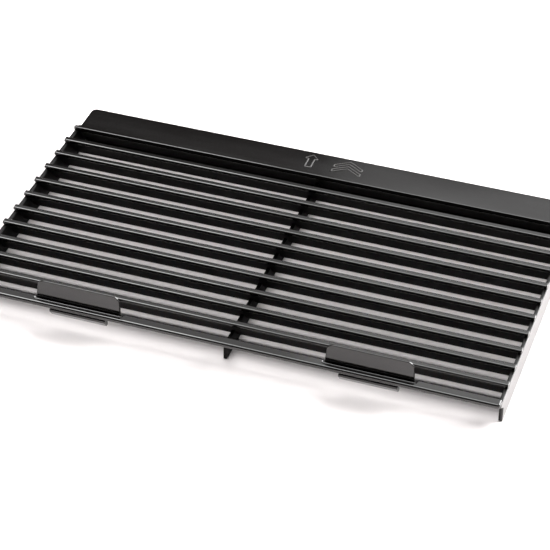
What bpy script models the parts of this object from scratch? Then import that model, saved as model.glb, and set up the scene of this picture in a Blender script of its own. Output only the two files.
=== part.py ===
"""Louvred air-intake grille, moulded in black plastic, lying on its back.

Frame: +X to the right, +Y towards the top flange, +Z out of the louvre face.
The origin is at the middle of the footprint, on the surface that it lies on.
"""
import math

import bmesh
import bpy

# Driving dimensions, in metres.
WIDTH = 0.303            # across the slat tips
DEPTH = 0.1844           # from the rail's front edge to the flange's far edge
PITCH = 0.0145           # from one slat to the next
SLAT_COUNT = 11          # the one under the flange's edge included
FACE_Z = 0.0188          # height of the louvre face above the surface
GAP = 0.0003             # between neighbours that touch

SKIN = 0.0029            # thickness of the flange, the rail and a slat's head
EDGE_ROUND = 0.0006      # rounding along outer edges

HEAD_DEPTH = 0.0033      # a slat's flat top, front to back
NOSE_RADIUS = 0.0010
BLADE_DROP = 0.0144      # from the top down to the blade's lower edge
BLADE_LEAN = 0.0098      # how far the lower edge lies towards the flange
BLADE_TOE = 0.0019       # thickness of the lower edge, front to back

RAIL_DEPTH = 0.0062
RAIL_TO_SLAT = 0.0170    # rail's front edge to the nose of the nearest slat

PLATE = 0.0022           # thickness of an end plate
RIB = 0.0020             # thickness of the centre rib
RIB_TOP = 0.0098         # height of the centre rib between the slats
FOOT_SETBACK = 0.0097    # plates and rib start this far behind the rail's front edge
TOE_SETBACK = 0.0036     # and reach forward to here, just under the rail
TOE_HEIGHT = 0.0016
TOE_SLOPE = 0.0044

FLANGE_INSET = 0.0034    # flange's side edge, from the slat tip
FLANGE_CORNER = 0.0032
NUB_DEPTH = 0.0026       # depth of the flange's two front tips
WALL = 0.0020            # thickness of the wall under the flange
WALL_SETBACK = 0.0080    # wall's far face, from the flange's far edge
WALL_END = 0.0005        # wall's end, from the flange's side edge

LATCH_OFFSET = 0.0812    # from the middle to the middle of a latch
TAB_WIDTH = 0.0483
TAB_THICK = 0.0018
TAB_HEIGHT = 0.0116      # above the rail
TAB_CORNER = 0.0034
TAB_SETBACK = 0.0039     # tab's front face, from the rail's front edge
TAB_DRAFT = 0.0008       # how much narrower the tab is on each side at its top
SLOT_FRONT = 0.0005      # clearance in front of a tab
SLOT_SIDE = 0.0007       # clearance at each end of a tab
HOOK_WIDTH = 0.0320
HOOK_DROP = 0.0094       # hook's lowest point, below the louvre face
LIP_GAP = 0.0015         # room for the panel's lip between rail and hook
BARB_REACH = 0.0025      # how far the hook stands forward of the tab
BARB_EDGE = 0.0014

MARK_RAISE = 0.0003      # height of the orientation mark above the flange
MARK_STROKE = 0.0007     # width of its raised outline
MARK_HEIGHT = 0.0130
ARROW_X = -0.0067
ARROW_HALF = 0.0045      # half the arrow head's width
STEM_HALF = 0.0021
CHEVRON_X = 0.0162
CHEVRON_HALF = 0.0088
CHEVRON_RISE = 0.0056    # how much a chevron's tip stands above its ends
CHEVRON_BAR = 0.0028     # a chevron's thickness, measured along Y

ARC_STEPS = 6

# Places that follow from them.
FRONT_Y = -DEPTH / 2
BACK_Y = DEPTH / 2
LAST_NOSE_Y = FRONT_Y + RAIL_TO_SLAT
FIRST_NOSE_Y = LAST_NOSE_Y + (SLAT_COUNT - 1) * PITCH
UNDER_Z = FACE_Z - SKIN
PLATE_TOP_Z = UNDER_Z - GAP
INNER_X = WIDTH / 2 - PLATE
BLADE_FOOT_Z = FACE_Z - BLADE_DROP
WALL_BACK_Y = BACK_Y - WALL_SETBACK
WALL_FRONT_Y = WALL_BACK_Y - WALL
TAB_FRONT_Y = FRONT_Y + TAB_SETBACK
TAB_MID_Y = TAB_FRONT_Y + TAB_THICK / 2
HINGE_Z = FACE_Z - SKIN / 2
# The blade's front face runs from its lower edge up to touch the nose's arc.
BLADE_ANGLE = (
    math.atan2(BLADE_LEAN - NOSE_RADIUS, BLADE_DROP - NOSE_RADIUS)
    + math.asin(NOSE_RADIUS / math.hypot(BLADE_LEAN - NOSE_RADIUS, BLADE_DROP - NOSE_RADIUS))
)


def clear_scene():
    """Remove every object that the new file holds."""
    for item in list(bpy.data.objects):
        bpy.data.objects.remove(item, do_unlink=True)


def make_collection(name):
    """Return a new collection linked to the scene."""
    collection = bpy.data.collections.new(name)
    bpy.context.scene.collection.children.link(collection)
    return collection


def make_plastic(name, colour, roughness):
    """Return a Principled material for one moulded member."""
    material = bpy.data.materials.new(name)
    material.use_nodes = True
    shader = material.node_tree.nodes["Principled BSDF"]
    shader.inputs["Base Color"].default_value = (*colour, 1.0)
    shader.inputs["Roughness"].default_value = roughness
    shader.inputs["Metallic"].default_value = 0.0
    return material


def arc(centre, radius, start_deg, end_deg, steps=ARC_STEPS):
    """Return the points of a circular arc in the outline's plane."""
    points = []
    for step in range(steps + 1):
        angle = math.radians(start_deg + (end_deg - start_deg) * step / steps)
        points.append((centre[0] + radius * math.cos(angle), centre[1] + radius * math.sin(angle)))
    return points


def outline_mesh(name, loops, thickness):
    """Fill flat closed outlines and give them a thickness, centred on z = 0."""
    curve = bpy.data.curves.new(name, "CURVE")
    curve.dimensions = "2D"
    curve.fill_mode = "BOTH"
    curve.extrude = thickness / 2
    for loop in loops:
        spline = curve.splines.new("POLY")
        spline.points.add(len(loop) - 1)
        for point, (u, v) in zip(spline.points, loop):
            point.co = (u, v, 0.0, 1.0)
        spline.use_cyclic_u = True
    holder = bpy.data.objects.new(name, curve)
    bpy.context.scene.collection.objects.link(holder)
    graph = bpy.context.evaluated_depsgraph_get()
    mesh = bpy.data.meshes.new_from_object(holder.evaluated_get(graph))
    bpy.data.objects.remove(holder, do_unlink=True)
    shell = bmesh.new()
    shell.from_mesh(mesh)
    bmesh.ops.remove_doubles(shell, verts=shell.verts, dist=0.00001)
    bmesh.ops.recalc_face_normals(shell, faces=shell.faces)
    shell.to_mesh(mesh)
    shell.free()
    mesh.name = name
    return mesh


def place(name, mesh, collection, material, location=(0.0, 0.0, 0.0), rotation=(0.0, 0.0, 0.0)):
    """Put a mesh in the scene as a named object."""
    part = bpy.data.objects.new(name, mesh)
    part.location = location
    part.rotation_euler = rotation
    part.data.materials.clear()
    part.data.materials.append(material)
    collection.objects.link(part)
    return part


def round_edges(part, width, segments=2):
    """Round a part's sharp edges."""
    bevel = part.modifiers.new("rounded_edges", "BEVEL")
    bevel.width = width
    bevel.segments = segments
    bevel.limit_method = "ANGLE"
    bevel.angle_limit = math.radians(40)
    return bevel


def cut(part, cutter):
    """Take a cutter's shape out of a part."""
    boolean = part.modifiers.new("cut_" + cutter.name, "BOOLEAN")
    boolean.operation = "DIFFERENCE"
    boolean.solver = "EXACT"
    boolean.object = cutter
    return boolean


def hide_helper(helper):
    """Show a cutter or a joined-in shape as wire, and leave it out of renders."""
    helper.hide_render = True
    helper.display_type = "WIRE"


# An outline drawn in (Y, Z) stands up when its mesh is turned by these angles:
# its own x runs along +Y, its own y along +Z, and its thickness along +X.
SIDE_VIEW = (math.pi / 2, 0.0, math.pi / 2)
# An outline drawn in (X, Z) stands up facing -Y.
FRONT_VIEW = (math.pi / 2, 0.0, 0.0)


def blade_front(drop):
    """Return how far a blade's front face has leant back at a depth below the top."""
    return BLADE_LEAN - (BLADE_DROP - drop) * math.tan(BLADE_ANGLE)


def blade_back(drop):
    """Return where a blade's back face is at a depth below the top."""
    return HEAD_DEPTH + (BLADE_LEAN + BLADE_TOE - HEAD_DEPTH) * drop / BLADE_DROP


def slat_outline():
    """Return a slat's side view: a rounded nose, a flat top and a blade that leans back."""
    nose = arc((NOSE_RADIUS, -NOSE_RADIUS), NOSE_RADIUS, 90, 180 + math.degrees(BLADE_ANGLE))
    return nose + [
        (blade_front(BLADE_DROP), -BLADE_DROP),
        (blade_back(BLADE_DROP), -BLADE_DROP),
        (HEAD_DEPTH, 0.0),
    ]


def make_end_cutters(collection, material):
    """Make the blocks that keep the blades between the end plates."""
    cutters = []
    for side in (-1, 1):
        mesh = outline_mesh("blade_end_cutter", [[
            (FRONT_Y, -PITCH),
            (BACK_Y, -PITCH),
            (BACK_Y, UNDER_Z),
            (FRONT_Y, UNDER_Z),
        ]], 2 * PITCH)
        centre_x = side * (INNER_X - GAP + PITCH)
        name = "blade_end_cutter_left" if side < 0 else "blade_end_cutter_right"
        cutter = place(name, mesh, collection, material, (centre_x, 0.0, 0.0), SIDE_VIEW)
        hide_helper(cutter)
        cutters.append(cutter)
    return cutters


def make_slats(collection, material, end_cutters):
    """Make the open slats, numbered from the flange down to the rail."""
    for number in range(2, SLAT_COUNT + 1):
        name = "slat_%02d" % number
        mesh = outline_mesh(name, [slat_outline()], WIDTH)
        nose_y = FIRST_NOSE_Y - (number - 1) * PITCH
        slat = place(name, mesh, collection, material, (0.0, nose_y, FACE_Z), SIDE_VIEW)
        for cutter in end_cutters:
            cut(slat, cutter)


def make_first_blade(collection, material):
    """Make the blade that hangs under the flange's front edge."""
    top = SKIN + GAP
    outline = [
        (blade_front(top), -top),
        (blade_front(BLADE_DROP), -BLADE_DROP),
        (blade_back(BLADE_DROP), -BLADE_DROP),
        (blade_back(top), -top),
    ]
    mesh = outline_mesh("slat_01", [outline], 2 * (INNER_X - GAP))
    place("slat_01", mesh, collection, material, (0.0, FIRST_NOSE_Y, FACE_Z), SIDE_VIEW)


def support_front():
    """Return the front corner points that the end plates and the rib share, from top to foot."""
    toe_y = FRONT_Y + TOE_SETBACK
    foot_y = FRONT_Y + FOOT_SETBACK
    return [
        (toe_y, PLATE_TOP_Z),
        (toe_y, PLATE_TOP_Z - TOE_HEIGHT),
        (foot_y, PLATE_TOP_Z - TOE_HEIGHT - TOE_SLOPE),
        (foot_y, 0.0),
    ]


def make_end_plates(collection, material):
    """Make the two upright plates that close the louvres' ends."""
    top_back_y = FIRST_NOSE_Y + NUB_DEPTH
    outline = support_front() + [(WALL_BACK_Y, 0.0), (top_back_y, PLATE_TOP_Z)]
    for side, name in ((-1, "end_plate_left"), (1, "end_plate_right")):
        mesh = outline_mesh(name, [outline], PLATE)
        centre_x = side * (WIDTH / 2 - PLATE / 2)
        place(name, mesh, collection, material, (centre_x, 0.0, 0.0), SIDE_VIEW)


def make_centre_rib(collection, material):
    """Make the rib that crosses under the slats, with a slanted slot for each blade."""
    outline = support_front()
    rib_drop = FACE_Z - RIB_TOP
    back_y = WALL_FRONT_Y - GAP
    outline += [(back_y, 0.0), (back_y, RIB_TOP)]
    for number in range(1, SLAT_COUNT + 1):
        nose_y = FIRST_NOSE_Y - (number - 1) * PITCH
        slot_drop = BLADE_DROP + GAP
        outline += [
            (nose_y + blade_back(rib_drop) + GAP, RIB_TOP),
            (nose_y + blade_back(slot_drop) + GAP, FACE_Z - slot_drop),
            (nose_y + blade_front(slot_drop) - GAP, FACE_Z - slot_drop),
            (nose_y + blade_front(rib_drop) - GAP, RIB_TOP),
        ]
    outline.append((FRONT_Y + RAIL_DEPTH + TOE_SLOPE, RIB_TOP))
    outline.append((FRONT_Y + RAIL_DEPTH, PLATE_TOP_Z))
    mesh = outline_mesh("centre_rib", [outline], RIB)
    place("centre_rib", mesh, collection, material, (0.0, 0.0, 0.0), SIDE_VIEW)


def make_top_wall(collection, material):
    """Make the upright wall that stands under the flange, behind the first blade."""
    height = UNDER_Z - GAP
    half = WIDTH / 2 - FLANGE_INSET - WALL_END
    outline = [(-half, 0.0), (half, 0.0), (half, height), (-half, height)]
    mesh = outline_mesh("top_wall", [outline], WALL)
    place("top_wall", mesh, collection, material, (0.0, WALL_FRONT_Y + WALL / 2, 0.0), FRONT_VIEW)


def make_top_flange(collection, helpers, material):
    """Make the flat flange with its front tips, rounded corners and raised orientation mark."""
    half = WIDTH / 2
    inset = half - FLANGE_INSET
    nub_y = FIRST_NOSE_Y + NUB_DEPTH
    corner_x = inset - FLANGE_CORNER
    corner_y = BACK_Y - FLANGE_CORNER
    right = [(half, FIRST_NOSE_Y), (half, nub_y), (inset, nub_y)]
    right += arc((corner_x, corner_y), FLANGE_CORNER, 0, 90)
    left = [(-x, y) for x, y in reversed(right)]
    mesh = outline_mesh("top_flange", [right + left], SKIN)
    centre_z = FACE_Z - SKIN / 2
    flange = place("top_flange", mesh, collection, material, (0.0, 0.0, centre_z))
    round_edges(flange, EDGE_ROUND)
    mark = place("orientation_mark", mark_mesh(), helpers, material)
    mark.location = (0.0, (FIRST_NOSE_Y + HEAD_DEPTH + BACK_Y) / 2, FACE_Z)
    hide_helper(mark)
    join = flange.modifiers.new("raised_mark", "BOOLEAN")
    join.operation = "UNION"
    join.solver = "EXACT"
    join.object = mark


def arrow_outline(inset):
    """Return an arrow's outline, drawn in by the inset on every side."""
    half = MARK_HEIGHT / 2
    neck = half - ARROW_HALF
    stem = STEM_HALF - inset
    tip = half - inset * math.sqrt(2)
    head = tip - neck - inset
    return [
        (0.0, tip), (head, neck + inset), (stem, neck + inset), (stem, inset - half),
        (-stem, inset - half), (-stem, neck + inset), (-head, neck + inset),
    ]


def chevron_outline(foot_y, inset):
    """Return a chevron's outline, drawn in by the inset on every side."""
    reach = CHEVRON_HALF - inset
    slope = CHEVRON_RISE / CHEVRON_HALF
    along_y = inset * math.sqrt(1 + slope * slope)
    drop = slope * reach
    top = foot_y + CHEVRON_RISE + CHEVRON_BAR - along_y
    low = foot_y + CHEVRON_RISE + along_y
    return [
        (0.0, top), (reach, top - drop), (reach, low - drop),
        (0.0, low), (-reach, low - drop), (-reach, top - drop),
    ]


def mark_mesh():
    """Return the mark: an outlined arrow and, beside it, two outlined chevrons."""
    loops = []
    for inset in (0.0, MARK_STROKE):
        loops.append([(ARROW_X + x, y) for x, y in arrow_outline(inset)])
        for foot_y in (-MARK_HEIGHT / 2, MARK_HEIGHT / 2 - CHEVRON_RISE - CHEVRON_BAR):
            loops.append([(CHEVRON_X + x, y) for x, y in chevron_outline(foot_y, inset)])
    return outline_mesh("orientation_mark", loops, 2 * MARK_RAISE)


def make_bottom_rail(collection, material):
    """Make the flat rail along the lower edge, with an open notch behind each latch."""
    back_y = FRONT_Y + RAIL_DEPTH
    notch_y = TAB_FRONT_Y - SLOT_FRONT
    half = WIDTH / 2
    notch_half = TAB_WIDTH / 2 + SLOT_SIDE
    outline = [(-half, FRONT_Y), (half, FRONT_Y), (half, back_y)]
    for centre in (LATCH_OFFSET, -LATCH_OFFSET):
        outline += [
            (centre + notch_half, back_y), (centre + notch_half, notch_y),
            (centre - notch_half, notch_y), (centre - notch_half, back_y),
        ]
    outline.append((-half, back_y))
    mesh = outline_mesh("bottom_rail", [outline], SKIN)
    rail = place("bottom_rail", mesh, collection, material, (0.0, 0.0, HINGE_Z))
    round_edges(rail, EDGE_ROUND * 0.5)


def tab_outline():
    """Return a finger tab seen from the front, with the hinge line at (0, 0)."""
    top = TAB_HEIGHT + SKIN / 2
    foot = -SKIN / 2
    half = TAB_WIDTH / 2
    corner_x = half - TAB_DRAFT - TAB_CORNER
    right = [(half, foot), (half, SKIN / 2)]
    right += arc((corner_x, top - TAB_CORNER), TAB_CORNER, 0, 90)
    return right + [(-x, y) for x, y in reversed(right)]


def hook_outline():
    """Return a hook's side view, with the hinge line at (0, 0)."""
    front = -TAB_THICK / 2
    back = TAB_THICK / 2
    top = -SKIN / 2 - GAP
    face = -SKIN / 2 - LIP_GAP
    lowest = SKIN / 2 - HOOK_DROP
    return [
        (back, top), (front, top), (front, face), (front - BARB_REACH, face),
        (front - BARB_REACH, face - BARB_EDGE), (front, lowest), (back, lowest),
    ]


def make_latches(collection, material):
    """Make the two spring latches, each a finger tab above the rail and a hook below it."""
    for side, place_name in ((-1, "left"), (1, "right")):
        pivot = bpy.data.objects.new("latch_axis_" + place_name, None)
        pivot.location = (side * LATCH_OFFSET, TAB_MID_Y, HINGE_Z)
        pivot.empty_display_size = 0.01
        collection.objects.link(pivot)
        tab_mesh = outline_mesh("finger_tab_" + place_name, [tab_outline()], TAB_THICK)
        tab = place("finger_tab_" + place_name, tab_mesh, collection, material, rotation=FRONT_VIEW)
        tab.parent = pivot
        round_edges(tab, EDGE_ROUND * 0.8)
        hook_mesh = outline_mesh("snap_hook_" + place_name, [hook_outline()], HOOK_WIDTH)
        hook = place("snap_hook_" + place_name, hook_mesh, collection, material, rotation=SIDE_VIEW)
        hook.parent = pivot


def main():
    """Build the whole grille."""
    clear_scene()
    grille = make_collection("louvre_grille")
    helpers = make_collection("cutters")
    black = make_plastic("black_plastic", (0.012, 0.011, 0.011), 0.28)
    end_cutters = make_end_cutters(helpers, black)
    make_slats(grille, black, end_cutters)
    make_first_blade(grille, black)
    make_end_plates(grille, black)
    make_centre_rib(grille, black)
    make_top_wall(grille, black)
    make_top_flange(grille, helpers, black)
    make_bottom_rail(grille, black)
    make_latches(grille, black)


main()
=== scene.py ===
"""Looks of a louvred air-intake grille moulded in black plastic.

Every member of the moulding is a surface worked out with numpy: a rounded outline carried
along a straight path, with its two ends rolled in. Lengths are in metres, in the CAD frame:
+X along the slats, +Y towards the top flange, +Z out of the louvre face.
"""
from __future__ import annotations

import logging
import math
from dataclasses import dataclass
from enum import Enum

import bpy
import numpy as np
from mathutils import Matrix, Vector


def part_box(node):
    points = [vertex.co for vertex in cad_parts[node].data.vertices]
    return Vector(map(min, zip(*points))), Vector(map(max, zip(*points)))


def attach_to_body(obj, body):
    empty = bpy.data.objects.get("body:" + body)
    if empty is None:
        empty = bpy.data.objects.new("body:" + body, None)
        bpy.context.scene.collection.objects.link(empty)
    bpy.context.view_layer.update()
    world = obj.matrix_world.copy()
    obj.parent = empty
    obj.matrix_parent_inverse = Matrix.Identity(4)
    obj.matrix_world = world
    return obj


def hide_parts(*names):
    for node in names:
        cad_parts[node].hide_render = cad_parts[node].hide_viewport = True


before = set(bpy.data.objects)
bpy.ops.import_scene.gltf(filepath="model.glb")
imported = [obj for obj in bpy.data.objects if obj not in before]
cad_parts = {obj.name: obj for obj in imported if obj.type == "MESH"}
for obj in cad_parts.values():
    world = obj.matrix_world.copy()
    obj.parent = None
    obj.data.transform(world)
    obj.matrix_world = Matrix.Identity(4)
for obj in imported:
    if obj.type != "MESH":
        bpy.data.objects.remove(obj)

LOG = logging.getLogger("louvre_grille")

GRILLE_BODY = "grille"

NUB_DEPTH = 0.0026     # tips at the flange's front corners, from front to back
WELD = 0.0004          # how far a member runs into the one that it is moulded to

ARC_STEPS = 6        # segments in a rounded corner of an outline
ROLL_STEPS = 4       # segments in a rolled-in end
NOSE_STEPS = 8       # segments in a slat's rounded corners
LINE_STEPS = 8       # segments across a raised line
LINE_KEEL = 0.35     # how far a raised line is sunk, as a share of its height
LINE_TOP_HIGHLIGHT = 0.5      # how much paler a raised line is painted along its top, a painted highlight
WEAR_LAYER = "edge_wear"
# Layer that says where painted shade, a duller and weaker reflection, is laid.
SHADE_LAYER = "painted_shade"


# --------------------------------------------------------------------------- outlines


class Side(Enum):
    """The grille's left or right half, and so the sign of X there."""

    LEFT = -1
    RIGHT = 1

    @property
    def word(self) -> str:
        """The side's name as the CAD nodes end."""
        return self.name.lower()


class Plane(Enum):
    """The plane that an outline is drawn in, and so the axis that it is carried along."""

    SIDE = (1, 2, 0)      # drawn in (Y, Z), carried along X
    FRONT = (0, 2, 1)     # drawn in (X, Z), carried along Y
    PLAN = (0, 1, 2)      # drawn in (X, Y), carried along Z

    def place(self, u: np.ndarray, v: np.ndarray, w: np.ndarray) -> np.ndarray:
        """Put outline coordinates in space.

        Args:
            u: First outline coordinate of each point.
            v: Second outline coordinate of each point.
            w: Distance of each point along the path.

        Returns:
            An array of shape (..., 3) with X, Y and Z.
        """
        out = np.empty((*np.broadcast(u, v, w).shape, 3))
        out[..., self.value[0]] = u
        out[..., self.value[1]] = v
        out[..., self.value[2]] = w
        return out

    @property
    def turns_over(self) -> bool:
        """True where the three axes make a left-handed set."""
        return self is Plane.FRONT


@dataclass(frozen=True)
class Trace:
    """A closed outline sampled at points, with the outward normal and wear at each."""

    points: np.ndarray
    normals: np.ndarray
    wear: np.ndarray


@dataclass(frozen=True)
class Outline:
    """A closed polygon with rounded corners, listed anticlockwise."""

    corners: tuple[tuple[float, float], ...]
    radii: tuple[float, ...] | float

    def trace(self, steps: int = ARC_STEPS) -> Trace:
        """Sample the outline.

        At each corner the outward normal turns evenly from one side's normal to the next,
        and the point is the arc's centre plus or minus the normal times the radius: plus at
        an outer corner, minus at an inner one.

        Args:
            steps: Segments in each corner's arc.

        Returns:
            The sampled outline.
        """
        corner = np.array(self.corners, float)
        radius = np.broadcast_to(np.array(self.radii, float), (len(corner),))
        ahead = np.roll(corner, -1, axis=0) - corner
        ahead /= np.linalg.norm(ahead, axis=1, keepdims=True)
        behind = np.roll(ahead, 1, axis=0)
        normal_in = np.stack([behind[:, 1], -behind[:, 0]], axis=1)
        cross = behind[:, 0] * ahead[:, 1] - behind[:, 1] * ahead[:, 0]
        turn = np.arctan2(cross, np.einsum("ij,ij->i", behind, ahead))
        bend = np.sign(turn)
        tangent = radius * np.abs(np.tan(turn / 2))
        start = corner - behind * tangent[:, None]
        centre = start - normal_in * (radius * bend)[:, None]
        share = np.linspace(0.0, 1.0, steps + 1)
        angle = turn[:, None] * share
        cos, sin = np.cos(angle), np.sin(angle)
        normal = np.stack([
            normal_in[:, :1] * cos - normal_in[:, 1:] * sin,
            normal_in[:, :1] * sin + normal_in[:, 1:] * cos,
        ], axis=2)
        points = centre[:, None] + normal * (radius * bend)[:, None, None]
        wear = np.where(bend[:, None] > 0, np.sin(math.pi * share), 0.0)
        return Trace(points.reshape(-1, 2), normal.reshape(-1, 2), wear.reshape(-1))


# --------------------------------------------------------------------------- surfaces


class Surface:
    """A mesh in the making: points, faces, analytic normals and a wear value at each point."""

    def __init__(self) -> None:
        """Start with nothing."""
        self.points: list[np.ndarray] = []
        self.normals: list[np.ndarray] = []
        self.wear: list[np.ndarray] = []
        self.faces: list[list[int]] = []
        self.count = 0

    def add_grid(self, points: np.ndarray, normals: np.ndarray, wear: np.ndarray,
                 flip: bool, close_rows: bool = False) -> int:
        """Add a grid of quads that closes on itself along its second direction.

        Args:
            points: Grid of points, of shape (rows, columns, 3).
            normals: Outward normal at each point.
            wear: Wear value at each point, of shape (rows, columns).
            flip: Whether to turn the faces over.
            close_rows: Whether the last row joins the first.

        Returns:
            The index of the grid's first point.
        """
        rows, columns = points.shape[:2]
        first = self.count
        index = first + np.arange(rows * columns).reshape(rows, columns)
        if close_rows:
            index = np.vstack([index, index[:1]])
        right = np.roll(index, -1, axis=1)
        quads = np.stack([index[:-1], right[:-1], right[1:], index[1:]], axis=-1).reshape(-1, 4)
        if flip:
            quads = quads[:, ::-1]
        self.faces.extend(quads.tolist())
        self.points.append(points.reshape(-1, 3))
        self.normals.append(normals.reshape(-1, 3))
        self.wear.append(np.broadcast_to(wear, (rows, columns)).reshape(-1))
        self.count += rows * columns
        return first

    def add_cap(self, ring: np.ndarray, flip: bool) -> None:
        """Close a ring of points with one flat face.

        Args:
            ring: Indices of the ring's points, in order.
            flip: Whether to turn the face over.
        """
        self.faces.append((ring[::-1] if flip else ring).tolist())

    def to_object(self, name: str, material: bpy.types.Material,
                  painted_shade: np.ndarray | float = 0.0) -> bpy.types.Object:
        """Make the mesh and its object.

        Args:
            name: The piece's name.
            material: Its finish.
            painted_shade: How far each point gets painted shade, a duller and weaker reflection,
                from 0 to 1.

        Returns:
            The new object, at the origin.
        """
        mesh = bpy.data.meshes.new(name)
        mesh.from_pydata(np.concatenate(self.points).tolist(), [], self.faces)
        mesh.update()
        mesh.shade_smooth()
        layer = mesh.attributes.new(WEAR_LAYER, "FLOAT", "POINT")
        layer.data.foreach_set("value", np.concatenate(self.wear).astype(np.float32))
        layer = mesh.attributes.new(SHADE_LAYER, "FLOAT", "POINT")
        values = np.broadcast_to(np.asarray(painted_shade, np.float32), (self.count,))
        layer.data.foreach_set("value", np.ascontiguousarray(values))
        mesh.normals_split_custom_set_from_vertices(np.concatenate(self.normals).tolist())
        mesh.materials.append(material)
        piece = bpy.data.objects.new(name, mesh)
        bpy.context.scene.collection.objects.link(piece)
        return piece


def rolled_prism(surface: Surface, outline: Outline, plane: Plane, start: float, end: float,
                 roll: float, steps: int = ARC_STEPS) -> None:
    """Carry an outline along a straight path, with both ends rolled in.

    A point is P(s, a) = outline(s) - normal(s) * roll * (1 - sin a), at the distance
    start + roll * (1 - cos a) along the path, where a runs from 0 at the flat end to a
    quarter turn at the side. The far end mirrors this.

    Args:
        surface: The surface to add to.
        outline: The outline, with every outer corner's radius at least the roll.
        plane: The plane that the outline is drawn in.
        start: Where the path starts.
        end: Where it ends.
        roll: Radius of the rolled-in ends.
        steps: Segments in each corner's arc.
    """
    trace = outline.trace(steps)
    quarter = np.linspace(0.0, math.pi / 2, ROLL_STEPS + 1)
    angle = np.concatenate([quarter, quarter[::-1]])
    side = np.repeat([-1.0, 1.0], ROLL_STEPS + 1)
    along = np.where(side < 0, start + roll * (1 - np.cos(angle)), end - roll * (1 - np.cos(angle)))
    inset = roll * (1 - np.sin(angle))
    uv = trace.points[None] - trace.normals[None] * inset[:, None, None]
    points = plane.place(uv[..., 0], uv[..., 1], along[:, None])
    lift = np.sin(angle)[:, None]
    normals = plane.place(
        trace.normals[None, :, 0] * lift,
        trace.normals[None, :, 1] * lift,
        (side * np.cos(angle))[:, None],
    )
    wear = np.maximum(trace.wear[None] * lift, np.sin(2 * angle)[:, None])
    flip = plane.turns_over
    first = surface.add_grid(points, normals, wear, flip)
    ring = np.arange(points.shape[1])
    surface.add_cap(first + ring, not flip)
    surface.add_cap(first + (points.shape[0] - 1) * points.shape[1] + ring, flip)


def raised_line(surface: Surface, outline: Outline, half_width: float, base: float,
                height: float, steps: int = ARC_STEPS) -> None:
    """Lay a rounded raised line along a closed outline on a level surface.

    Across the line a point stands at base + height * sin(t) and half_width * cos(t) to the
    side of the outline, with t running over a half turn. One more row of points, sunk below
    the surface, closes the line from under.

    Args:
        surface: The surface to add to.
        outline: The line's middle, in plan.
        half_width: Half the line's width.
        base: Height of the surface that it stands on.
        height: How much the line stands proud.
        steps: Segments in each corner's arc.
    """
    trace = outline.trace(steps)
    across = np.linspace(0.0, math.pi, LINE_STEPS + 1)
    cos, sin = np.cos(across), np.sin(across)
    ring_cos = np.concatenate([cos, [0.0]])
    ring_up = np.concatenate([sin, [-LINE_KEEL]])
    uv = trace.points[None] + trace.normals[None] * (half_width * ring_cos)[:, None, None]
    points = Plane.PLAN.place(uv[..., 0], uv[..., 1], (base + height * ring_up)[:, None])
    slope_side = np.concatenate([cos * height, [0.0]])
    slope_up = np.concatenate([sin * half_width, [-half_width]])
    length = np.hypot(slope_side, slope_up)
    normals = Plane.PLAN.place(
        trace.normals[None, :, 0] * (slope_side / length)[:, None],
        trace.normals[None, :, 1] * (slope_side / length)[:, None],
        (slope_up / length)[:, None],
    )
    wear = ring_up[:, None] * LINE_TOP_HIGHLIGHT
    surface.add_grid(points, normals, wear, False, close_rows=True)


# --------------------------------------------------------------------------- finishes


@dataclass(frozen=True)
class Mottle:
    """A noise pattern: its scale and detail, where it starts and ends, and its stretch."""

    scale: float
    detail: float
    low: float = 0.0
    high: float = 1.0
    stretch: tuple[float, float, float] = (1.0, 1.0, 1.0)


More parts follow.
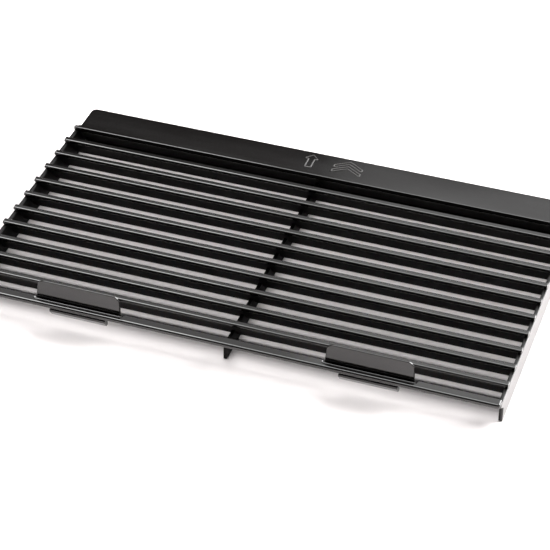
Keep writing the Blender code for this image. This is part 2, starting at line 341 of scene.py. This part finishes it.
@dataclass(frozen=True)
class MouldedPlastic:
    """Semi-gloss black plastic with a fine grain, sink waviness and polished edges.

    It gets painted shade, a duller and weaker reflection, where the satin layer says so, and only
    below the height shade_below.
    """

    name: str
    shade_below: float
    colour: tuple[float, float, float] = (0.0026, 0.0021, 0.0019)
    worn_colour: tuple[float, float, float] = (0.0040, 0.0034, 0.0031)
    roughness: tuple[float, float] = (0.075, 0.135)
    worn_roughness: float = 0.07
    index: float = 1.60
    # shade_roughness, shade_level and shade_fade make the painted shade: a duller, weaker
    # reflection on faces in shade.
    shade_roughness: float = 0.62
    gloss_level: float = 0.5
    shade_level: float = 0.12
    shade_fade: tuple[float, float] = (-0.0002, 0.0007)
    patches: Mottle = Mottle(55.0, 3.0, 0.38, 0.66)
    least_wear: float = 0.35
    cloud: Mottle = Mottle(34.0, 4.0, 0.35, 0.7)
    most_cloud: float = 0.45
    flow: Mottle = Mottle(60.0, 5.0, 0.3, 0.7, (0.12, 1.0, 1.0))
    waves: Mottle = Mottle(26.0, 1.0, stretch=(0.35, 1.0, 1.0))
    wave_depth: float = 0.00009
    grain: Mottle = Mottle(2600.0, 2.0)
    grain_depth: float = 0.000003

    def build(self) -> bpy.types.Material:
        """Make the node material.

        Returns:
            A material that reads Object coordinates and the wear and satin layers.
        """
        material = bpy.data.materials.new(self.name)
        material.use_nodes = True
        tree = material.node_tree
        shader = tree.nodes["Principled BSDF"]
        shader.inputs["Metallic"].default_value = 0.0
        shader.inputs["IOR"].default_value = self.index
        coords = tree.nodes.new("ShaderNodeTexCoord").outputs["Object"]
        wear = self._wear(tree, coords)
        # Painted shade: the reflection is turned down and dulled where the layer says so.
        painted_shade = self._painted_shade(tree, coords)
        level = self._blend(tree, painted_shade, self.gloss_level, self.shade_level)
        tree.links.new(level, shader.inputs["Specular IOR Level"])
        self._colour(tree, coords, wear, shader)
        self._roughness(tree, coords, wear, painted_shade, shader)
        self._relief(tree, coords, shader)
        return material

    @staticmethod
    def _noise(tree: bpy.types.NodeTree, coords: bpy.types.NodeSocket,
               mottle: Mottle) -> bpy.types.NodeSocket:
        """Add a noise texture, stretched along the axes, and return its value."""
        mapping = tree.nodes.new("ShaderNodeMapping")
        mapping.inputs["Scale"].default_value = mottle.stretch
        noise = tree.nodes.new("ShaderNodeTexNoise")
        noise.inputs["Scale"].default_value = mottle.scale
        noise.inputs["Detail"].default_value = mottle.detail
        tree.links.new(coords, mapping.inputs["Vector"])
        tree.links.new(mapping.outputs["Vector"], noise.inputs["Vector"])
        return noise.outputs["Fac"]

    @staticmethod
    def _range(tree: bpy.types.NodeTree, value: bpy.types.NodeSocket,
               low: float, high: float, to_low: float, to_high: float) -> bpy.types.NodeSocket:
        """Map a value from one range to another, smoothly and clamped."""
        node = tree.nodes.new("ShaderNodeMapRange")
        node.interpolation_type = "SMOOTHSTEP"
        node.inputs["From Min"].default_value = low
        node.inputs["From Max"].default_value = high
        node.inputs["To Min"].default_value = to_low
        node.inputs["To Max"].default_value = to_high
        tree.links.new(value, node.inputs["Value"])
        return node.outputs["Result"]

    def _mottled(self, tree: bpy.types.NodeTree, coords: bpy.types.NodeSocket, mottle: Mottle,
                 to_low: float, to_high: float) -> bpy.types.NodeSocket:
        """Map a noise pattern to a range of values."""
        noise = self._noise(tree, coords, mottle)
        return self._range(tree, noise, mottle.low, mottle.high, to_low, to_high)

    @staticmethod
    def _times_layer(tree: bpy.types.NodeTree, layer_name: str,
                     value: bpy.types.NodeSocket) -> bpy.types.NodeSocket:
        """Multiply a value by one of the mesh's layers."""
        layer = tree.nodes.new("ShaderNodeAttribute")
        layer.attribute_name = layer_name
        product = tree.nodes.new("ShaderNodeMath")
        product.operation = "MULTIPLY"
        tree.links.new(layer.outputs["Fac"], product.inputs[0])
        tree.links.new(value, product.inputs[1])
        return product.outputs["Value"]

    def _wear(self, tree: bpy.types.NodeTree, coords: bpy.types.NodeSocket) -> bpy.types.NodeSocket:
        """Return how polished the surface is: the edge layer, broken up in patches."""
        patches = self._mottled(tree, coords, self.patches, self.least_wear, 1.0)
        return self._times_layer(tree, WEAR_LAYER, patches)

    def _painted_shade(self, tree: bpy.types.NodeTree,
               coords: bpy.types.NodeSocket) -> bpy.types.NodeSocket:
        """Return how much painted shade the surface gets: its layer, fading out at the polished
        heads.
        """
        split = tree.nodes.new("ShaderNodeSeparateXYZ")
        tree.links.new(coords, split.inputs["Vector"])
        low, high = (self.shade_below + step for step in self.shade_fade)
        below = self._range(tree, split.outputs["Z"], low, high, 1.0, 0.0)
        return self._times_layer(tree, SHADE_LAYER, below)

    @staticmethod
    def _blend(tree: bpy.types.NodeTree, factor: bpy.types.NodeSocket,
               first: bpy.types.NodeSocket | float, second: float) -> bpy.types.NodeSocket:
        """Mix a value, or a constant, towards a constant and return the result."""
        mix = tree.nodes.new("ShaderNodeMix")
        mix.data_type = "FLOAT"
        tree.links.new(factor, mix.inputs["Factor"])
        if isinstance(first, float):
            mix.inputs[2].default_value = first
        else:
            tree.links.new(first, mix.inputs[2])
        mix.inputs[3].default_value = second
        return mix.outputs[0]

    def _colour(self, tree: bpy.types.NodeTree, coords: bpy.types.NodeSocket,
                wear: bpy.types.NodeSocket, shader: bpy.types.Node) -> None:
        """Mix the black with its cloudier tone, and lighten it along worn edges."""
        cloud = self._mottled(tree, coords, self.cloud, 0.0, self.most_cloud)
        body = tree.nodes.new("ShaderNodeMix")
        body.data_type = "RGBA"
        body.inputs[6].default_value = (*self.colour, 1.0)
        body.inputs[7].default_value = (*self.worn_colour, 1.0)
        tree.links.new(cloud, body.inputs["Factor"])
        edge = tree.nodes.new("ShaderNodeMix")
        edge.data_type = "RGBA"
        edge.inputs[7].default_value = (*self.worn_colour, 1.0)
        tree.links.new(wear, edge.inputs["Factor"])
        tree.links.new(body.outputs[2], edge.inputs[6])
        tree.links.new(edge.outputs[2], shader.inputs["Base Color"])

    def _roughness(self, tree: bpy.types.NodeTree, coords: bpy.types.NodeSocket,
                   wear: bpy.types.NodeSocket, painted_shade: bpy.types.NodeSocket,
                   shader: bpy.types.Node) -> None:
        """Vary the gloss in long flow marks, smoother along worn edges, duller where painted shade
        is laid.
        """
        flow = self._mottled(tree, coords, self.flow, *self.roughness)
        edge = self._blend(tree, wear, flow, self.worn_roughness)
        dulled = self._blend(tree, painted_shade, edge, self.shade_roughness)
        tree.links.new(dulled, shader.inputs["Roughness"])

    def _relief(self, tree: bpy.types.NodeTree, coords: bpy.types.NodeSocket,
                shader: bpy.types.Node) -> None:
        """Bump the surface with slow sink waviness and, on top of it, a fine moulded grain."""
        slow = self._bump(tree, self._noise(tree, coords, self.waves), self.wave_depth)
        fine = self._bump(tree, self._noise(tree, coords, self.grain), self.grain_depth)
        tree.links.new(slow.outputs["Normal"], fine.inputs["Normal"])
        tree.links.new(fine.outputs["Normal"], shader.inputs["Normal"])

    @staticmethod
    def _bump(tree: bpy.types.NodeTree, height: bpy.types.NodeSocket,
              depth: float) -> bpy.types.Node:
        """Turn a height pattern into a bump of the given depth."""
        bump = tree.nodes.new("ShaderNodeBump")
        bump.inputs["Strength"].default_value = 1.0
        bump.inputs["Distance"].default_value = depth
        tree.links.new(height, bump.inputs["Height"])
        return bump


@dataclass(frozen=True)
class TableTop:
    """A plain matt white surface."""

    name: str = "pale_table"
    colour: tuple[float, float, float] = (0.90, 0.852, 0.848)
    roughness: float = 0.55

    def build(self) -> bpy.types.Material:
        """Make the material."""
        material = bpy.data.materials.new(self.name)
        material.use_nodes = True
        tree = material.node_tree
        shader = tree.nodes["Principled BSDF"]
        shader.inputs["Base Color"].default_value = (*self.colour, 1.0)
        shader.inputs["Roughness"].default_value = self.roughness
        return material


# --------------------------------------------------------------------------- the frame's places


@dataclass(frozen=True)
class Places:
    """Where the CAD puts each member, read once from the frame."""

    half_width: float
    face_z: float
    under_z: float
    front_y: float
    back_y: float
    first_nose_y: float
    plate_top_z: float

    @property
    def nub_back_y(self) -> float:
        """Where the tips at the flange's front corners end."""
        return self.first_nose_y + NUB_DEPTH

    @classmethod
    def from_frame(cls) -> "Places":
        """Read the shared places from the frame's boxes."""
        rail_low, rail_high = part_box("bottom_rail")
        flange_low, flange_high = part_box("top_flange")
        _, plate_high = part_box("end_plate_right")
        return cls(
            half_width=rail_high.x,
            face_z=rail_high.z,
            under_z=rail_low.z,
            front_y=rail_low.y,
            back_y=flange_high.y,
            first_nose_y=flange_low.y,
            plate_top_z=plate_high.z,
        )


# --------------------------------------------------------------------------- members


@dataclass(frozen=True)
class BladeShape:
    """Side view of a louvre blade, shared by every slat."""

    head_depth: float = 0.0033
    head_radius: float = 0.0004
    nose_radius: float = 0.0010
    toe: float = 0.0019
    toe_radius: float = 0.0005

    def nose_reach(self, drop: float, lean: float) -> float:
        """Return how far the sharp corner lies in front of the rounded nose.

        The blade's front face runs from its lower edge up to touch the nose's circle, so it
        leans by atan((lean - r) / (drop - r)) + asin(r / distance to the circle's centre).
        """
        across, down = lean - self.nose_radius, drop - self.nose_radius
        angle = math.atan2(across, down) + math.asin(self.nose_radius / math.hypot(across, down))
        return drop * math.tan(angle) - lean

    def outline(self, low: Vector, high: Vector) -> Outline:
        """Return the outline of a whole slat that fills a box from low to high."""
        drop = high.z - low.z
        lean = high.y - low.y - self.toe
        corners = (
            (low.y - self.nose_reach(drop, lean), high.z),
            (low.y + lean, low.z),
            (high.y, low.z),
            (low.y + self.head_depth, high.z),
        )
        radii = (self.nose_radius, self.toe_radius, self.toe_radius, self.head_radius)
        return Outline(corners, radii)


@dataclass(frozen=True)
class Slat:
    """One louvre slat: a rounded nose, a flat top and a blade that leans back."""

    node: str
    places: Places
    shape: BladeShape = BladeShape()
    roll: float = 0.00035
    blade_inset: float = 0.0008
    step: float = 0.0004

    def build(self, finish: bpy.types.Material) -> bpy.types.Object:
        """Make the slat.

        Its outline is carried along X. The head runs out to the end plates' outer faces; the
        blade ends inside the plates, so that the two read as one moulding.

        Args:
            finish: The plastic.

        Returns:
            The finished piece.
        """
        low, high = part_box(self.node)
        surface = Surface()
        outline = self.shape.outline(low, high)
        rolled_prism(surface, outline, Plane.SIDE, low.x, high.x, self.roll, NOSE_STEPS)
        self._narrow_blade(surface)
        # Painted shade over the whole slat; the material keeps it below the head, so the blade's
        # reflection is turned down and dulled.
        piece = surface.to_object(self.node + "_moulded", finish, 1.0)
        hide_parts(self.node)
        return piece

    def _narrow_blade(self, surface: Surface) -> None:
        """Pull the blade's ends inside the end plates.

        Each point's X is held within half_width - blade_inset * below, where below goes from
        0 to 1 over one step of height, centred on the head's underside.
        """
        points = surface.points[0]
        below = np.clip((self.places.under_z - points[:, 2]) / self.step + 0.5, 0.0, 1.0)
        limit = self.places.half_width - self.blade_inset * below
        points[:, 0] = np.clip(points[:, 0], -limit, limit)


@dataclass(frozen=True)
class HiddenBlade:
    """The blade that hangs under the flange's front edge."""

    places: Places
    node: str = "slat_01"
    shape: BladeShape = BladeShape()
    roll: float = 0.0003
    sink: float = 0.0002
    into_plate: float = 0.0006

    def build(self, finish: bpy.types.Material) -> bpy.types.Object:
        """Make the blade as a slat whose head is lost inside the flange.

        Args:
            finish: The plastic.

        Returns:
            The finished piece.
        """
        low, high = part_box(self.node)
        low.y = self.places.first_nose_y
        high.z = self.places.face_z - self.sink
        reach = high.x + self.into_plate
        surface = Surface()
        outline = self.shape.outline(low, high)
        rolled_prism(surface, outline, Plane.SIDE, -reach, reach, self.roll)
        # Painted shade over the whole blade: its reflection is turned down and dulled.
        piece = surface.to_object(self.node + "_moulded", finish, 1.0)
        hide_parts(self.node)
        return piece


@dataclass(frozen=True)
class Mark:
    """The orientation mark: an outlined arrow beside two outlined chevrons, all along +Y."""

    middle: float
    half_height: float = 0.0062
    arrow_x: float = -0.0067
    arrow_head: float = 0.0042
    arrow_stem: float = 0.0018
    chevron_x: float = 0.0162
    chevron_reach: float = 0.0085
    chevron_rise: float = 0.0054
    chevron_bar: float = 0.0023
    corner: float = 0.0005
    line_half: float = 0.00042
    line_height: float = 0.00034

    def build(self, face_z: float, finish: bpy.types.Material) -> bpy.types.Object:
        """Lay the mark on a level face as thin raised lines.

        Args:
            face_z: The face's height.
            finish: The plastic of the lines, painted paler as a highlight.

        Returns:
            The finished piece.
        """
        lower_foot = self.middle - self.half_height
        upper_foot = self.middle + self.half_height - self.chevron_rise - self.chevron_bar
        surface = Surface()
        for outline in (self._arrow(), self._chevron(lower_foot), self._chevron(upper_foot)):
            raised_line(surface, outline, self.line_half, face_z, self.line_height)
        return surface.to_object("orientation_mark", finish)

    def _arrow(self) -> Outline:
        """Return the arrow's outline."""
        tip, tail = self.middle + self.half_height, self.middle - self.half_height
        neck = tip - self.arrow_head
        x, head, stem = self.arrow_x, self.arrow_head, self.arrow_stem
        corners = (
            (x, tip), (x - head, neck), (x - stem, neck), (x - stem, tail), (x + stem, tail),
            (x + stem, neck), (x + head, neck),
        )
        return Outline(corners, self.corner)

    def _chevron(self, foot: float) -> Outline:
        """Return the outline of a chevron that stands on the given Y."""
        x, reach, bar = self.chevron_x, self.chevron_reach, self.chevron_bar
        peak = foot + self.chevron_rise
        corners = (
            (x, peak + bar), (x - reach, foot + bar), (x - reach, foot), (x, peak),
            (x + reach, foot), (x + reach, foot + bar),
        )
        return Outline(corners, self.corner)


@dataclass(frozen=True)
class Flange:
    """The flat top flange and its raised orientation mark."""

    places: Places
    node: str = "top_flange"
    inset: float = 0.0034
    corner: float = 0.0032
    edge: float = 0.0007
    roll: float = 0.00063

    def build(self, finish: bpy.types.Material,
              painted_highlight: bpy.types.Material) -> list[bpy.types.Object]:
        """Make the flange and its mark.

        Args:
            finish: The plastic.
            painted_highlight: The plastic of the mark's raised lines, painted paler as a highlight.

        Returns:
            The finished pieces.
        """
        half, back = self.places.half_width, self.places.back_y
        nose_y, nub_y = self.places.first_nose_y, self.places.nub_back_y
        inset_x = half - self.inset
        right = ((half, nose_y), (half, nub_y), (inset_x, nub_y), (inset_x, back))
        left = tuple((-x, y) for x, y in reversed(right))
        edge = self.edge
        radii = (edge, edge, edge, self.corner, self.corner, edge, edge, edge)
        surface = Surface()
        rolled_prism(surface, Outline(right + left, radii), Plane.PLAN,
                     self.places.under_z, self.places.face_z, self.roll)
        plate = surface.to_object("top_flange_moulded", finish)
        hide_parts(self.node)
        mark = Mark(middle=(nose_y + BladeShape().head_depth + back) / 2)
        return [plate, mark.build(self.places.face_z, painted_highlight)]


@dataclass(frozen=True)
class Supports:
    """The end plates, the centre rib and the wall that the slats stand on."""

    places: Places
    toe_drop: float = 0.0016
    toe_slope: float = 0.0044
    toe_setback: float = 0.0036
    foot_setback: float = 0.0097
    radius: float = 0.0006
    roll: float = 0.0004
    rib_top: float = 0.0098
    lap: float = 0.0003
    wall_lap: float = 0.0012
    return_inset: float = 0.0038
    return_thick: float = 0.0013
    return_reach: float = 0.0048
    return_setback: float = 0.0002

    def build(self, finish: bpy.types.Material) -> list[bpy.types.Object]:
        """Make the four supports and the wall's two returns.

        Args:
            finish: The plastic.

        Returns:
            The finished pieces.
        """
        return [
            *(self._end_plate(side, finish) for side in Side),
            self._rib(finish),
            self._wall(finish),
            *(self._return(side, finish) for side in Side),
        ]

    def _front(self, top: float) -> tuple[tuple[float, float], ...]:
        """Return the shared front corners, from the top down to the foot."""
        toe_y = self.places.front_y + self.toe_setback
        foot_y = self.places.front_y + self.foot_setback
        toe_z = self.places.plate_top_z - self.toe_drop
        return (toe_y, top), (toe_y, toe_z), (foot_y, toe_z - self.toe_slope), (foot_y, 0.0)

    def _end_plate(self, side: Side, finish: bpy.types.Material) -> bpy.types.Object:
        """Make an end plate: its side view carried through its thickness.

        Only its inner half gets painted shade, a duller and weaker reflection; the outer face is
        polished.
        """
        node = "end_plate_" + side.word
        low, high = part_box(node)
        top = high.z + self.lap
        corners = (*self._front(top), (high.y, 0.0), (self.places.nub_back_y, top))
        surface = Surface()
        rolled_prism(surface, Outline(corners, self.radius), Plane.SIDE, low.x, high.x, self.roll)
        inner = np.abs(surface.points[0][:, 0]) < (abs(low.x) + abs(high.x)) / 2
        # Painted shade on the inner half only.
        piece = surface.to_object(node + "_moulded", finish, inner.astype(float))
        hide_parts(node)
        return piece

    def _rib(self, finish: bpy.types.Material) -> bpy.types.Object:
        """Make the centre rib, which the blades pass through."""
        low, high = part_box("centre_rib")
        rail_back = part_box("bottom_rail")[1].y
        back = high.y + self.lap
        top = high.z + WELD
        corners = (
            *self._front(top), (back, 0.0), (back, self.rib_top),
            (rail_back + self.toe_slope, self.rib_top), (rail_back, top),
        )
        surface = Surface()
        rolled_prism(surface, Outline(corners, self.radius), Plane.SIDE, low.x, high.x, self.roll)
        # Painted shade over the whole rib: its reflection is turned down and dulled below the
        # heads.
        piece = surface.to_object("centre_rib_moulded", finish, 1.0)
        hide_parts("centre_rib")
        return piece

    def _wall(self, finish: bpy.types.Material) -> bpy.types.Object:
        """Make the wall under the flange."""
        low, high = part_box("top_wall")
        half = high.x + self.wall_lap
        top = high.z + WELD
        corners = ((-half, low.z), (half, low.z), (half, top), (-half, top))
        surface = Surface()
        rolled_prism(surface, Outline(corners, self.radius), Plane.FRONT, low.y, high.y, self.roll)
        # Painted shade over the whole wall: its reflection is turned down and dulled.
        piece = surface.to_object("top_wall_moulded", finish, 1.0)
        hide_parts("top_wall")
        return piece

    def _return(self, side: Side, finish: bpy.types.Material) -> bpy.types.Object:
        """Make the web that runs from an end of the wall forward to the first blade."""
        low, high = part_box("top_wall")
        top = high.z + WELD
        outer = self.places.half_width - self.return_inset
        ends = sorted((side.value * outer, side.value * (outer - self.return_thick)))
        front = low.y - self.return_reach
        back = high.y - self.return_setback
        corners = ((front, low.z), (back, low.z), (back, top), (front, top))
        surface = Surface()
        rolled_prism(surface, Outline(corners, self.radius), Plane.SIDE, *ends, self.roll)
        # Painted shade over the whole return: its reflection is turned down and dulled.
        return surface.to_object("top_wall_return_" + side.word, finish, 1.0)


@dataclass(frozen=True)
class Rail:
    """The bottom rail, with an open notch behind each latch."""

    places: Places
    node: str = "bottom_rail"
    slot_front: float = 0.0005
    slot_side: float = 0.0007
    radius: float = 0.0016
    notch_radius: float = 0.0004
    roll: float = 0.0012
    bead: float = 0.0005
    bead_width: float = 0.0013
    bead_root: float = 0.0002
    bead_roll: float = 0.00015
    bead_setback: float = 0.0001

    def build(self, finish: bpy.types.Material) -> bpy.types.Object:
        """Make the rail: its plan carried through its thickness.

        Args:
            finish: The plastic.

        Returns:
            The finished piece.
        """
        low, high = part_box(self.node)
        corners = [(low.x, low.y), (high.x, low.y), (high.x, high.y)]
        radii = [self.radius] * 3
        beads = []
        for side in (Side.RIGHT, Side.LEFT):
            tab_low, tab_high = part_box("finger_tab_" + side.word)
            right = tab_high.x + self.slot_side
            left = tab_low.x - self.slot_side
            notch_y = tab_low.y - self.slot_front
            beads.append((left, right, notch_y))
            corners += [(right, high.y), (right, notch_y), (left, notch_y), (left, high.y)]
            radii += [self.radius, self.notch_radius, self.notch_radius, self.radius]
        corners.append((low.x, high.y))
        radii.append(self.radius)
        surface = Surface()
        rolled_prism(surface, Outline(tuple(corners), tuple(radii)), Plane.PLAN,
                     low.z, high.z, self.roll)
        for left, right, notch_y in beads:
            self._bead(surface, left, right, notch_y - self.bead_setback, high.z)
        piece = surface.to_object("bottom_rail_moulded", finish)
        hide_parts(self.node)
        return piece

    def _bead(self, surface: Surface, left: float, right: float, back: float, top: float) -> None:
        """Lay a rounded bead along a notch's front edge, half of it sunk in the rail.

        Args:
            surface: The surface to add to.
            left: X of its left end.
            right: X of its right end.
            back: Y of its back.
            top: Height of the rail's top.
        """
        front = back - self.bead_width
        foot, crest = top - self.bead, top + self.bead
        corners = ((front, foot), (back, foot), (back, crest), (front, crest))
        radii = (self.bead_root, self.bead_root, self.bead, self.bead * 1.5)
        rolled_prism(surface, Outline(corners, radii), Plane.SIDE, left, right, self.bead_roll)


@dataclass(frozen=True)
class Latch:
    """A spring latch: a finger tab above the rail and a hook below it."""

    side: Side
    places: Places
    corner: float = 0.0042
    root_radius: float = 0.0006
    waist_radius: float = 0.004
    draft: float = 0.0008
    front_draft: float = 0.0005
    roll: float = 0.00055
    hook_roll: float = 0.0002
    hook_sharp: float = 0.0003
    hook_corner: float = 0.0004
    hook_blunt: float = 0.0005
    hook_weld: float = 0.0006
    barb_edge: float = 0.0014
    lip_gap: float = 0.0015

    @property
    def body(self) -> str:
        """Name of the CAD body that the latch rides on."""
        return "latch_" + self.side.word

    def build(self, finish: bpy.types.Material) -> list[bpy.types.Object]:
        """Make the tab and the hook.

        Args:
            finish: The plastic.

        Returns:
            The finished pieces.
        """
        return [self._tab(finish), self._hook(finish)]

    def _tab(self, finish: bpy.types.Material) -> bpy.types.Object:
        """Make the tab: its front view, narrower towards the top, carried through its thickness.

        The front face leans back: each point moves back in proportion to its height above the
        rail and to its distance from the back face.
        """
        node = "finger_tab_" + self.side.word
        low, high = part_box(node)
        root = self.places.face_z
        corners = (
            (low.x, low.z), (high.x, low.z), (high.x, root),
            (high.x - self.draft, high.z), (low.x + self.draft, high.z), (low.x, root),
        )
        radii = (
            self.root_radius, self.root_radius, self.waist_radius,
            self.corner, self.corner, self.waist_radius,
        )
        surface = Surface()
        rolled_prism(surface, Outline(corners, radii), Plane.FRONT, low.y, high.y, self.roll)
        points = surface.points[0]
        rise = np.clip((points[:, 2] - root) / (high.z - root), 0.0, 1.0)
        points[:, 1] += self.front_draft * rise * (high.y - points[:, 1]) / (high.y - low.y)
        piece = surface.to_object(node + "_moulded", finish)
        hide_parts(node)
        return piece

    def _hook(self, finish: bpy.types.Material) -> bpy.types.Object:
        """Make the hook: a tongue with a forward barb, carried along X."""
        node = "snap_hook_" + self.side.word
        low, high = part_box(node)
        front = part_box("finger_tab_" + self.side.word)[0].y
        top = high.z + self.hook_weld
        face = self.places.under_z - self.lip_gap
        corners = (
            (high.y, top), (front, top), (front, face), (low.y, face),
            (low.y, face - self.barb_edge), (front, low.z), (high.y, low.z),
        )
        sharp, corner, blunt = self.hook_sharp, self.hook_corner, self.hook_blunt
        radii = (sharp, sharp, corner, sharp, blunt, blunt, blunt)
        surface = Surface()
        rolled_prism(surface, Outline(corners, radii), Plane.SIDE, low.x, high.x, self.hook_roll)
        piece = surface.to_object(node + "_moulded", finish)
        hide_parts(node)
        return piece


# --------------------------------------------------------------------------- the studio


@dataclass(frozen=True)
class SoftBox:
    """A rectangular area light that faces a point."""

    name: str
    place: tuple[float, float, float]
    size: tuple[float, float]
    radiance: float
    aim: tuple[float, float, float] = (0.0, 0.0, 0.0)
    lift: float = 0.0
    gloss_only: bool = False

    def build(self) -> None:
        """Make the light; its power is pi times radiance times area."""
        data = bpy.data.lights.new(self.name, "AREA")
        data.shape = "RECTANGLE"
        data.size, data.size_y = self.size
        data.energy = math.pi * self.radiance * self.size[0] * self.size[1]
        light = bpy.data.objects.new(self.name, data)
        light.location = self.place
        away = Vector(self.place) - Vector(self.aim)
        turn = away.to_track_quat("Z", "Y")
        light.rotation_euler = turn.to_euler()
        light.location += turn @ Vector((0.0, self.lift, 0.0))
        light.visible_diffuse = not self.gloss_only
        bpy.context.scene.collection.objects.link(light)

    @classmethod
    def level(cls, name: str, place: tuple[float, float, float], size: tuple[float, float],
              radiance: float, gloss_only: bool = False) -> "SoftBox":
        """Return a box that faces straight down.

        Args:
            name: The light's name.
            place: Its middle.
            size: Its width and depth.
            radiance: How bright it is.
            gloss_only: Whether it shows in reflections only.
        """
        below = (place[0], place[1], 0.0)
        return cls(name, place, size, radiance, below, gloss_only=gloss_only)

    @classmethod
    def far_panel(cls, name: str, heading: float, rise: float, width: float,
                  radiance: float) -> "SoftBox":
        """Return a panel that stands 6 m behind the grille, with its lower edge at an angle.

        Args:
            name: The light's name.
            heading: Bearing of its middle, in degrees from +Y towards -X.
            rise: Elevation of its lower edge, in degrees.
            width: Its width.
            radiance: How bright it is.
        """
        away, height = 6.0, 1.8
        turn, tilt = math.radians(heading), math.radians(rise)
        reach = away * math.cos(tilt)
        foot = (-reach * math.sin(turn), reach * math.cos(turn), away * math.sin(tilt))
        return cls(name, foot, (width, height), radiance, lift=height / 2)


@dataclass(frozen=True)
class Studio:
    """Plain floor, soft lights, dim surroundings and the camera."""

    places: Places
    azimuth: float = math.radians(18.62)
    elevation: float = math.radians(37.71)
    roll: float = math.radians(0.486)
    distance: float = 1.1673
    target: tuple[float, float] = (0.00947, -0.02785)
    centre_shift: tuple[float, float] = (0.5 / 550, 0.5 / 550)
    lens: float = 140.34
    ambient: float = 0.07
    table_half: float = 4.0

    def build(self) -> None:
        """Make the whole studio."""
        self._floor()
        self._surroundings()
        self._lights()
        self._camera()
        bpy.context.scene.view_settings.view_transform = "Standard"

    def _floor(self) -> None:
        """Make the table, a wide level sheet right under the grille."""
        mesh = bpy.data.meshes.new("table")
        half = self.table_half
        corners = [(-half, -half, 0.0), (half, -half, 0.0), (half, half, 0.0), (-half, half, 0.0)]
        mesh.from_pydata(corners, [], [(0, 1, 2, 3)])
        mesh.materials.append(TableTop().build())
        table = bpy.data.objects.new("table", mesh)
        bpy.context.scene.collection.objects.link(table)

    def _surroundings(self) -> None:
        """Fill the room with a dim even grey."""
        world = bpy.data.worlds.new("surroundings")
        world.use_nodes = True
        background = world.node_tree.nodes["Background"]
        background.inputs["Color"].default_value = (1.0, 1.0, 1.0, 1.0)
        background.inputs["Strength"].default_value = self.ambient
        bpy.context.scene.world = world

    @staticmethod
    def _lights() -> None:
        """Hang the soft boxes.

        An overhead box and one behind on the right light everything. Two boxes that only show
        in gloss draw the bright lines along the noses, and two far panels give the level
        faces their sheen.
        """
        over = (-0.30, 0.12, 1.30)
        for box in (
            SoftBox.level("overhead_box", over, (1.1, 1.0), 6.7),
            SoftBox("rear_right_box", (1.50, 1.30, 1.25), (1.8, 1.8), 15.5),
            SoftBox.level("overhead_sheen", over, (1.1, 1.0), 3.6, gloss_only=True),
            SoftBox.level("left_sheen", (-0.72, 0.12, 1.25), (0.7, 1.1), 4.6, gloss_only=True),
            SoftBox.far_panel("rear_panel", 19.0, 35.1, 6.0, 0.88),
            SoftBox.far_panel("rear_panel_right", 2.0, 35.2, 2.5, 0.80),
        ):
            box.build()

    def _camera(self) -> None:
        """Set the camera from its bearing, height angle, roll and distance."""
        sin_a, cos_a = math.sin(self.azimuth), math.cos(self.azimuth)
        sin_e, cos_e = math.sin(self.elevation), math.cos(self.elevation)
        back = Vector((sin_a * cos_e, -cos_a * cos_e, sin_e))
        right = Vector((cos_a, sin_a, 0.0))
        up = back.cross(right)
        turned_right = right * math.cos(self.roll) + up * math.sin(self.roll)
        turned_up = up * math.cos(self.roll) - right * math.sin(self.roll)
        data = bpy.data.cameras.new("camera")
        data.lens = self.lens
        data.shift_x, data.shift_y = -self.centre_shift[0], self.centre_shift[1]
        camera = bpy.data.objects.new("camera", data)
        look_at = Vector((*self.target, self.places.face_z))
        rotation = Matrix((turned_right, turned_up, back)).transposed().to_4x4()
        camera.matrix_world = Matrix.Translation(look_at + back * self.distance) @ rotation
        bpy.context.scene.collection.objects.link(camera)
        bpy.context.scene.camera = camera


# --------------------------------------------------------------------------- assembly


def attach(pieces: list[bpy.types.Object], body: str) -> None:
    """Attach pieces to a body and log them.

    Args:
        pieces: The finished pieces.
        body: The CAD body that they ride on.
    """
    for piece in pieces:
        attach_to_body(piece, body)
        LOG.info("%s rides on %s with %d faces", piece.name, body, len(piece.data.polygons))


def main() -> None:
    """Build the grille and its studio."""
    logging.basicConfig(level=logging.INFO, format="%(message)s")
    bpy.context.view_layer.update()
    places = Places.from_frame()
    finish = MouldedPlastic("black_plastic_moulded", places.under_z).build()
    # The mark's lines are painted paler, in both colour and worn colour, as a highlight for the
    # light that the raised lines catch; their rougher gloss is a finish.
    painted_highlight = MouldedPlastic(
        "black_plastic_painted_highlight", places.under_z, colour=(0.026, 0.024, 0.023),
        worn_colour=(0.042, 0.039, 0.037), roughness=(0.30, 0.42), worn_roughness=0.28,
    ).build()
    slats = sorted(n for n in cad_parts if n.startswith("slat_") and n != "slat_01")
    attach([Slat(node, places).build(finish) for node in slats], GRILLE_BODY)
    attach([HiddenBlade(places).build(finish)], GRILLE_BODY)
    attach(Flange(places).build(finish, painted_highlight), GRILLE_BODY)
    attach(Supports(places).build(finish), GRILLE_BODY)
    attach([Rail(places).build(finish)], GRILLE_BODY)
    for side in Side:
        latch = Latch(side, places)
        attach(latch.build(finish), latch.body)
    Studio(places).build()


if __name__ == "__main__":
    main()
